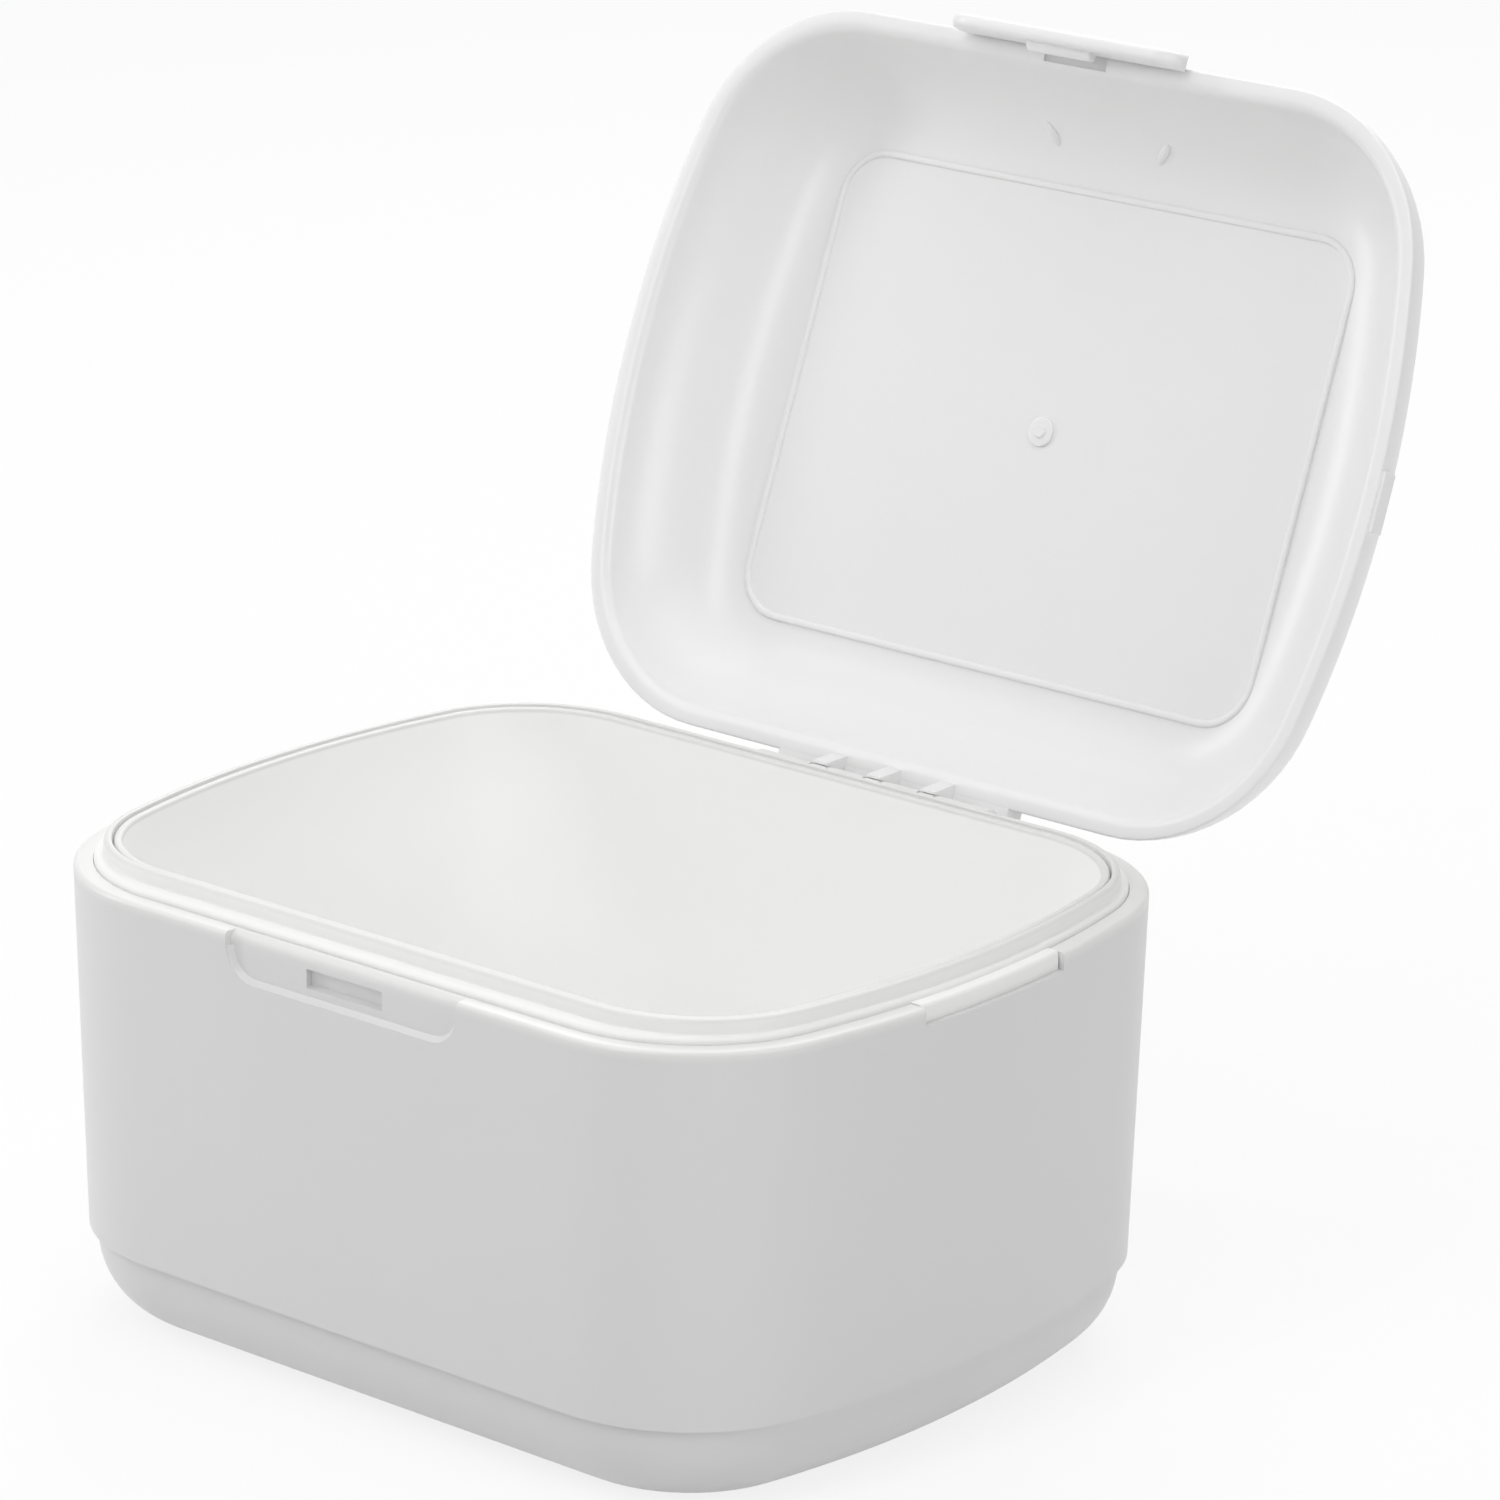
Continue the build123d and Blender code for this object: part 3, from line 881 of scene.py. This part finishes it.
class BuildBasket(bpy.types.Operator):
    """Build the strainer basket with its drain holes and feet"""

    bl_idname = "soaking_case.basket"
    bl_label = "Strainer basket"

    def execute(self, context):
        sizes = context.scene.case_sizes
        slope = TUB_DRAFT / (LIP_LEVEL - TUB_FLOOR)
        gap, wall = 0.2 * MM, 0.9 * MM
        foot_height = 2.5 * MM
        bottom = BASKET_FOOT + foot_height
        floor = bottom + 1.2 * MM
        top = LIP_LEVEL - 0.2 * MM
        bottom_rounding = 7.5 * MM
        top_rounding = 0.3 * MM

        def skin_plan(level, inset):
            return lip_plan(LIP_WALL + gap + slope * (LIP_LEVEL - level) + inset)

        bm = bmesh.new()
        loops = [
            outline(bm, skin_plan(bottom, 0), bottom),
            outline(bm, skin_plan(top, 0), top),
            outline(bm, skin_plan(top, wall), top),
            outline(bm, skin_plan(floor, wall), floor),
        ]
        skin(bm, loops)
        lay_face(bm, loops[0])
        lay_face(bm, loops[-1])
        round_edges(bm, loops[1] + loops[2], top_rounding, segments=4)
        round_edges(bm, loops[0], bottom_rounding, segments=12)
        round_edges(bm, loops[-1], bottom_rounding - wall, segments=12)
        basket = new_piece("basket", bm)
        self.drill_floor(basket, bottom, sizes.drain_hole / 2)
        self.add_feet(basket, foot_height)
        material = basket_polypropylene(context.scene.case_colours)
        rim_rounding = 0.15 * MM
        finish_piece(
            basket, rim_rounding, "basket", "strainer_basket", material
        )
        return {"FINISHED"}

    def drill_floor(self, basket, bottom, radius):
        """Rows of drain holes through the basket's floor."""
        columns, rows, pitch, depth = 9, 6, 8 * MM, 6 * MM
        bm = bmesh.new()
        for column in range(columns):
            for row in range(rows):
                x = (column - (columns - 1) / 2) * pitch
                y = (row - (rows - 1) / 2) * pitch
                cylinder(bm, radius, depth, Matrix.Translation((x, y, bottom)), segments=24)
        carve(basket, "DIFFERENCE", bm)

    def add_feet(self, basket, foot_height):
        """Four short feet, let a little way into the floor."""
        radius, sunk = 2.5 * MM, 0.4 * MM
        height = foot_height + sunk
        bm = bmesh.new()
        for x in (-28 * MM, 28 * MM):
            for y in (-16 * MM, 16 * MM):
                place = Matrix.Translation((x, y, BASKET_FOOT + height / 2))
                cylinder(bm, radius, height, place)
        carve(basket, "UNION", bm)


def dome_plan(turn, wall):
    """Section of the lid's outside, or of its inside when wall is given."""
    lean, rise = 1 - cos(turn), sin(turn)
    inset_x = wall + DOME_DRAFT * rise + (DOME_INSET_X - wall) * lean
    inset_y = wall + DOME_DRAFT * rise + (DOME_INSET_Y - wall) * lean
    radius = CORNER_RADIUS - wall - (CORNER_RADIUS - wall - PANEL_CORNER) * lean
    return CASE_WIDTH - 2 * inset_x, CASE_DEPTH - 2 * inset_y, radius


def lean_back(piece):
    """Turns a piece of the shut lid about the hinge to where the open lid stands."""
    place = Matrix.Translation(HINGE) @ LEAN_BACK @ Matrix.Translation(-HINGE)
    piece.data.transform(place)


def finish_lid_piece(piece, rounding, material):
    """Leans a piece of the shut lid back and finishes it."""
    lean_back(piece)
    finish_piece(piece, rounding, "lid", "lid_shell", material)


class BuildLid(bpy.types.Operator):
    """Build the domed lid with its panel bead and marks"""

    bl_idname = "soaking_case.lid"
    bl_label = "Lid"

    def execute(self, context):
        sizes = context.scene.case_sizes
        material = lid_polypropylene(context.scene.case_colours)
        panel_level = LID_LEVEL + DOME_HEIGHT - sizes.lid_wall
        lid = self.shell(sizes)
        self.cut_pocket(lid)
        finish_lid_piece(lid, sizes.fine_rounding, material)
        finish_lid_piece(self.bead(panel_level, sizes.bead_height), 0, material)
        finish_lid_piece(self.gate_mark(panel_level, sizes.bead_height), 0, material)
        finish_lid_piece(self.wall_marks(), 0, material)
        return {"FINISHED"}

    def shell(self, sizes):
        """Dome with its flat panel, open below."""
        turns = [pi / 2 * i / sizes.dome_steps for i in range(sizes.dome_steps + 1)]
        inner_height = DOME_HEIGHT - sizes.lid_wall
        bm = bmesh.new()
        outside = [
            outline(bm, dome_plan(t, 0), LID_LEVEL + DOME_HEIGHT * sin(t)) for t in turns
        ]
        inside = [
            outline(bm, dome_plan(t, sizes.lid_rim_wall), LID_LEVEL + inner_height * sin(t))
            for t in turns
        ]
        skin(bm, outside[::-1] + inside)
        lay_face(bm, outside[-1])
        lay_face(bm, inside[-1])
        outer_rim, inner_rim = outside[0], inside[0]
        round_edges(bm, outer_rim, radius=0.3 * MM, segments=4)
        round_edges(bm, inner_rim, radius=1.2 * MM, segments=8)
        return new_piece("lid", bm)

    def cut_pocket(self, lid):
        """Pocket in the rim behind the hook."""
        width, reach, depth = 8.2 * MM, 1.8 * MM, 0.45 * MM
        bm = bmesh.new()
        block(
            bm,
            (-width / 2, FRONT - MM, LID_LEVEL - MM),
            (width / 2, FRONT + reach, LID_LEVEL + depth),
        )
        carve(lid, "DIFFERENCE", bm)

    def bead(self, panel_level, height):
        """Bead round the panel, its root a little way inside the panel."""
        half_width, half_depth, corner = 34.4 * MM, 26.4 * MM, 5.6 * MM
        thickness, rounding = 0.8 * MM, 0.3 * MM
        root = panel_level + 0.3 * MM
        crest = panel_level - height
        bm = bmesh.new()
        loops = [
            rounded_rectangle(bm, half_width - inset, half_depth - inset, corner - inset, level)
            for inset, level in ((0, root), (0, crest), (thickness, crest), (thickness, root))
        ]
        skin(bm, [*loops, loops[0]])
        round_edges(bm, loops[1] + loops[2], rounding, segments=4)
        return new_piece("lid_panel_bead", bm)

    def gate_mark(self, panel_level, height):
        """Low disc with a dimple, where the plastic entered the mould."""
        radius, rounding, sunk = 1.6 * MM, 0.15 * MM, 0.2 * MM
        flat, slope, dimple_depth = 0.65 * MM, 0.2 * MM, 0.25 * MM
        bm = bmesh.new()
        bmesh.ops.create_circle(
            bm,
            cap_ends=True,
            radius=radius,
            segments=40,
            matrix=Matrix.Translation((0, 0, panel_level + sunk)),
        )
        grown = bmesh.ops.extrude_face_region(bm, geom=bm.faces[:])["geom"]
        moved = [g for g in grown if isinstance(g, bmesh.types.BMVert)]
        bmesh.ops.translate(bm, verts=moved, vec=(0, 0, -sunk - height))
        crest = [g for g in grown if isinstance(g, bmesh.types.BMFace)]
        round_edges(bm, list({e for f in crest for e in f.edges}), rounding, segments=3)
        lowest = [min(bm.faces, key=lambda face: face.calc_center_median().z)]
        bmesh.ops.inset_region(bm, faces=lowest, thickness=flat, depth=0)
        bmesh.ops.inset_region(bm, faces=lowest, thickness=slope, depth=-dimple_depth)
        return new_piece("lid_gate_mark", bm)

    def wall_marks(self):
        """Two low lens-shaped marks on the wall behind the latch."""
        along, back, up = 7.4 * MM, FRONT + 8.3 * MM, LID_LEVEL + 9.45 * MM
        wall_tilt, turn = radians(28.8), radians(33)
        half_sizes = Matrix.Diagonal((0.55 * MM, 1.5 * MM, 0.4 * MM, 1))
        bm = bmesh.new()
        for side in (-1, 1):
            place = (
                Matrix.Translation((side * along, back, up))
                @ Matrix.Rotation(wall_tilt, 4, "X")
                @ Matrix.Rotation(side * turn, 4, "Z")
                @ half_sizes
            )
            bmesh.ops.create_uvsphere(bm, u_segments=24, v_segments=12, radius=1, matrix=place)
        return new_piece("lid_wall_marks", bm)


def taper_root(piece):
    """Cuts the two ends of a piece at the latch's root, so that they draw in towards the lid."""
    reach, draw_in = 4.5 * MM, 6.4 * MM
    bm = bmesh.new()
    for side in (-1, 1):
        near, far = side * LATCH_WIDTH / 2, side * LATCH_WIDTH
        verts = side_plate(
            bm,
            (
                (FRONT - OVERSHOOT, LATCH_TOP - reach),
                (FRONT + OVERSHOOT, LATCH_TOP - reach),
                (FRONT + OVERSHOOT, LATCH_TOP + reach),
                (FRONT - OVERSHOOT, LATCH_TOP + reach),
            ),
            near,
            far,
        )
        upper = [v for v in verts if v.co.z > LATCH_TOP and abs(v.co.x - near) < TOUCH]
        bmesh.ops.translate(bm, verts=upper, vec=(-side * draw_in, 0, 0))
    carve(piece, "DIFFERENCE", bm)


class BuildLidHinge(bpy.types.Operator):
    """Build the lid's grip, hinge pad, arms and the brow over the latch"""

    bl_idname = "soaking_case.lid_hinge"
    bl_label = "Lid grip and hinge arms"

    def execute(self, context):
        fine = context.scene.case_sizes.fine_rounding
        arm_rounding = 0.35 * MM
        material = bpy.data.materials["lid_polypropylene"]
        finish_lid_piece(self.grip(), fine, material)
        finish_lid_piece(self.arms(), arm_rounding, material)
        finish_lid_piece(self.brow(), fine, material)
        return {"FINISHED"}

    def grip(self):
        """Finger grip on the right side, narrower at its tip."""
        root, reach = CASE_WIDTH / 2 - 1.3 * MM, 1.6 * MM
        half_root, half_tip = 3.6 * MM, 3.17 * MM
        foot, height = LID_LEVEL + 0.3 * MM, 2.1 * MM
        plan = (
            (root, -half_root, foot),
            (root + reach, -half_tip, foot),
            (root + reach, half_tip, foot),
            (root, half_root, foot),
        )
        bm = bmesh.new()
        prism(bm, plan, (0, 0, height))
        return new_piece("lid_grip", bm)

    def arms(self):
        """Pad on the back wall, with three arms, each with its gusset, drilled for the pin."""
        pad_front = BACK - 0.85 * MM
        pad_back = HINGE.y - 0.4 * MM
        pad_foot, pad_top = LID_LEVEL + 0.02 * MM, LID_LEVEL + 2.6 * MM
        gusset_root = BACK - 1.2 * MM
        gusset_tip = HINGE.y - KNUCKLE_RADIUS - 0.25 * MM
        side_view = (
            (gusset_root, LID_LEVEL + 0.3 * MM),
            (gusset_root, LID_LEVEL),
            (gusset_tip, GUSSET_LEVEL),
            (HINGE.y - KNUCKLE_RADIUS, GUSSET_LEVEL),
            (HINGE.y - KNUCKLE_RADIUS, HINGE.z),
            (HINGE.y + KNUCKLE_RADIUS, HINGE.z),
            (pad_back, pad_top),
            (pad_front, pad_top),
        )
        bm = bmesh.new()
        block(
            bm, (-HINGE_WIDTH / 2, pad_front, pad_foot), (HINGE_WIDTH / 2, pad_back, pad_top)
        )
        arms = new_piece("lid_hinge_arms", bm)
        for place in ARM_PLACES:
            start, end = place - ARM_WIDTH / 2, place + ARM_WIDTH / 2
            bm = bmesh.new()
            side_plate(bm, side_view, start, end)
            carve(arms, "UNION", bm)
            bm = bmesh.new()
            hinge_rod(bm, KNUCKLE_RADIUS, start, end)
            carve(arms, "UNION", bm)
        bm = bmesh.new()
        hinge_rod(bm, BORE_RADIUS, -HINGE_WIDTH, HINGE_WIDTH)
        carve(arms, "DIFFERENCE", bm)
        return arms

    def brow(self):
        """Brow over the latch's root, drawn in at both ends."""
        width = 23.5 * MM
        foot = LATCH_TOP + 0.3 * MM
        side_view = (
            (FRONT + 1.75 * MM, foot),
            (ROOT_FACE, foot),
            (ROOT_FACE, foot + 0.95 * MM),
            (FRONT + 3.4 * MM, foot + 4.1 * MM),
        )
        bm = bmesh.new()
        side_plate(bm, side_view, -width / 2, width / 2)
        brow = new_piece("lid_brow", bm)
        taper_root(brow)
        return brow


class BuildLatch(bpy.types.Operator):
    """Build the snap tab with its hook"""

    bl_idname = "soaking_case.latch"
    bl_label = "Latch tab"

    def execute(self, context):
        tab = self.tab()
        taper_root(tab)
        self.add_hook(tab)
        lean_back(tab)
        tab_rounding = 0.1 * MM
        material = bpy.data.materials["lid_polypropylene"]
        finish_piece(tab, tab_rounding, "latch", "latch_tab", material)
        return {"FINISHED"}

    def tab(self):
        """Tab with round lower corners and rounded rims, a ledge on it for the lid's rim."""
        foot = RIM_LEVEL - 4.6 * MM
        ledge = FRONT - 0.3 * MM
        foot_thickness = 1.5 * MM
        rim_turn, rim_rounding = 1.2, 0.6 * MM
        side_view = (
            (LATCH_INNER, foot),
            (LATCH_INNER, RIM_LEVEL),
            (ledge, RIM_LEVEL),
            (ledge, LATCH_TOP),
            (ROOT_FACE, LATCH_TOP),
            (LATCH_INNER - foot_thickness, foot),
        )
        bm = bmesh.new()
        side_plate(bm, side_view, -LATCH_WIDTH / 2, LATCH_WIDTH / 2)
        corners = [
            e
            for e in bm.edges
            if max(v.co.z for v in e.verts) < foot + TOUCH
            and abs(e.verts[0].co.x - e.verts[1].co.x) < TOUCH
        ]
        round_edges(bm, corners, LATCH_CORNER, LATCH_CORNER_STEPS)
        rims = [
            e
            for e in bm.edges
            if e.calc_face_angle(0) > rim_turn and min(v.co.z for v in e.verts) < RIM_LEVEL - MM
        ]
        round_edges(bm, rims, rim_rounding, segments=5)
        return new_piece("latch", bm)

    def add_hook(self, tab):
        """Hook on the inside of the tab, chamfered below so that it snaps in."""
        width, half_height, reach, chamfer = 8.4 * MM, 0.7 * MM, 0.95 * MM, 0.5 * MM
        root, tip = LATCH_INNER - 0.5 * MM, LATCH_INNER + reach
        foot, top = HOOK_LEVEL - half_height, HOOK_LEVEL + half_height
        side_view = (
            (root, top),
            (tip, top),
            (tip, foot + chamfer),
            (tip - chamfer, foot),
            (root, foot),
        )
        rounding = 0.2 * MM
        bm = bmesh.new()
        side_plate(bm, side_view, -width / 2, width / 2)
        round_edges(bm, bm.edges[:], rounding, segments=3)
        carve(tab, "UNION", bm)


class DressPin(bpy.types.Operator):
    """Give the hinge pin its steel"""

    bl_idname = "soaking_case.pin"
    bl_label = "Hinge pin"

    def execute(self, context):
        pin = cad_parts["hinge_pin"]
        pin.data.materials.clear()
        pin.data.materials.append(pin_steel(context.scene.case_colours))
        return {"FINISHED"}


# ------------------------------------------------------------------- stage


def seen_or_mirrored(tree):
    """One for rays from the camera and for mirrored or passed-through rays, else nought."""
    ray = add_node(tree, "ShaderNodeLightPath")
    seen = add_node(
        tree,
        "ShaderNodeMath",
        {"operation": "ADD"},
        {0: ray.outputs["Is Camera Ray"], 1: ray.outputs["Is Glossy Ray"]},
    )
    return add_node(
        tree,
        "ShaderNodeMath",
        {"operation": "ADD", "use_clamp": True},
        {0: seen.outputs[0], 1: ray.outputs["Is Transmission Ray"]},
    ).outputs[0]


def studio_paper(name, colour):
    """Matt white paper: shows as white around the object, and keeps a soft shadow.

    glow_share is how much of what the camera sees is plain white; the rest takes the shadow.
    """
    glow_share = 0.82
    grain, relief_height = 3 * MM, 0.01 * MM
    material = bpy.data.materials.new(name)
    material.use_nodes = True
    tree = material.node_tree
    tree.nodes.clear()
    place = add_node(tree, "ShaderNodeTexCoord").outputs["Object"]
    fibre = add_node(
        tree, "ShaderNodeTexNoise", {"Scale": 1 / grain, "Detail": 2.0}, {"Vector": place}
    )
    relief = add_node(
        tree,
        "ShaderNodeBump",
        {"Strength": 0.3, "Distance": relief_height},
        {"Height": fibre.outputs["Fac"]},
    )
    paper = add_node(
        tree,
        "ShaderNodeBsdfPrincipled",
        {"Base Color": (*colour, 1), "Roughness": 0.9},
        {"Normal": relief.outputs["Normal"]},
    )
    glow = add_node(tree, "ShaderNodeEmission", {"Color": (1, 1, 1, 1), "Strength": 1.0})
    share = add_node(
        tree,
        "ShaderNodeMath",
        {"operation": "MULTIPLY", 1: glow_share},
        {0: seen_or_mirrored(tree)},
    )
    mix = add_node(
        tree,
        "ShaderNodeMixShader",
        links={0: share.outputs[0], 1: paper.outputs["BSDF"], 2: glow.outputs["Emission"]},
    )
    add_node(tree, "ShaderNodeOutputMaterial", links={"Surface": mix.outputs["Shader"]})
    return material


class BuildStage(bpy.types.Operator):
    """Set up the floor, the soft light and the camera"""

    bl_idname = "soaking_case.stage"
    bl_label = "Stage"

    def execute(self, context):
        scene = context.scene
        self.lay_floor(scene.case_colours.floor)
        scene.world = self.world()
        for lamp in LAMPS:
            self.lamp(*lamp)
        scene.camera = self.camera()
        scene.view_settings.view_transform = "Standard"
        return {"FINISHED"}

    def lay_floor(self, colour):
        """Wide sheet of paper under the case."""
        half_width = 1.6
        bm = bmesh.new()
        bmesh.ops.create_grid(bm, x_segments=1, y_segments=1, size=half_width)
        floor = new_piece("floor_paper", bm)
        floor.data.materials.append(studio_paper("studio_paper", colour))

    def world(self):
        """Even light from all round that is seen, and mirrored, as white."""
        world = bpy.data.worlds.new("studio")
        world.use_nodes = True
        tree = world.node_tree
        tree.nodes.clear()
        white = (1, 1, 1, 1)
        soft = add_node(tree, "ShaderNodeBackground", {"Color": white, "Strength": FILL_LIGHT})
        bright = add_node(tree, "ShaderNodeBackground", {"Color": white, "Strength": 1.0})
        mix = add_node(
            tree,
            "ShaderNodeMixShader",
            links={
                0: seen_or_mirrored(tree),
                1: soft.outputs["Background"],
                2: bright.outputs["Background"],
            },
        )
        add_node(tree, "ShaderNodeOutputWorld", links={"Surface": mix.outputs["Shader"]})
        return world

    def lamp(self, name, place, aim, size, power):
        """Soft rectangular lamp aimed at a point."""
        data = bpy.data.lights.new(name, "AREA")
        data.shape = "RECTANGLE"
        data.size, data.size_y = size
        data.energy = power
        lamp = bpy.data.objects.new(name, data)
        bpy.context.scene.collection.objects.link(lamp)
        place, aim = Vector(place), Vector(aim)
        turn = (aim - place).to_track_quat("-Z", "Y").to_matrix().to_4x4()
        lamp.matrix_world = Matrix.Translation(place) @ turn

    def camera(self):
        """Long lens from the front right, a little from above, rolled by under a degree."""
        data = bpy.data.cameras.new("camera")
        data.lens = FOCAL_LENGTH
        data.sensor_width = SENSOR_WIDTH
        data.clip_start = 0.05
        camera = bpy.data.objects.new("camera", data)
        bpy.context.scene.collection.objects.link(camera)
        azimuth, elevation, roll = radians(AZIMUTH), radians(ELEVATION), radians(ROLL)
        back = Vector(
            (sin(azimuth) * cos(elevation), -cos(azimuth) * cos(elevation), sin(elevation))
        )
        right = UP.cross(back).normalized()
        upright = back.cross(right)
        turned_right = cos(roll) * right + sin(roll) * upright
        turned_up = cos(roll) * upright - sin(roll) * right
        rotation = Matrix((turned_right, turned_up, back)).transposed().to_4x4()
        camera.matrix_world = Matrix.Translation(AIM + back * DISTANCE) @ rotation
        return camera


class SoakingCasePanel(bpy.types.Panel):
    """Sidebar panel with the case's pieces"""

    bl_idname = "VIEW3D_PT_soaking_case"
    bl_label = "Soaking Case"
    bl_space_type = "VIEW_3D"
    bl_region_type = "UI"
    bl_category = "Soaking Case"

    def draw(self, context):
        layout = self.layout
        for group in (context.scene.case_sizes, context.scene.case_colours):
            box = layout.box()
            for name in group.bl_rna.properties.keys():
                if name not in {"rna_type", "name"}:
                    box.prop(group, name)
        for piece in PIECES:
            layout.operator(piece.bl_idname)


PIECES = (
    BuildSleeve,
    BuildBase,
    BuildTub,
    BuildBasket,
    BuildLid,
    BuildLidHinge,
    BuildLatch,
    DressPin,
    BuildStage,
)
CLASSES = (CaseSizes, CaseColours, *PIECES, SoakingCasePanel)


def register():
    for cls in CLASSES:
        bpy.utils.register_class(cls)
    bpy.types.Scene.case_sizes = PointerProperty(type=CaseSizes)
    bpy.types.Scene.case_colours = PointerProperty(type=CaseColours)


def unregister():
    del bpy.types.Scene.case_colours
    del bpy.types.Scene.case_sizes
    for cls in reversed(CLASSES):
        bpy.utils.unregister_class(cls)


def main():
    """Builds every piece in turn."""
    register()
    bpy.ops.soaking_case.sleeve()
    bpy.ops.soaking_case.base()
    bpy.ops.soaking_case.tub()
    bpy.ops.soaking_case.basket()
    bpy.ops.soaking_case.lid()
    bpy.ops.soaking_case.lid_hinge()
    bpy.ops.soaking_case.latch()
    bpy.ops.soaking_case.pin()
    bpy.ops.soaking_case.stage()


if __name__ == "__main__":
    main()
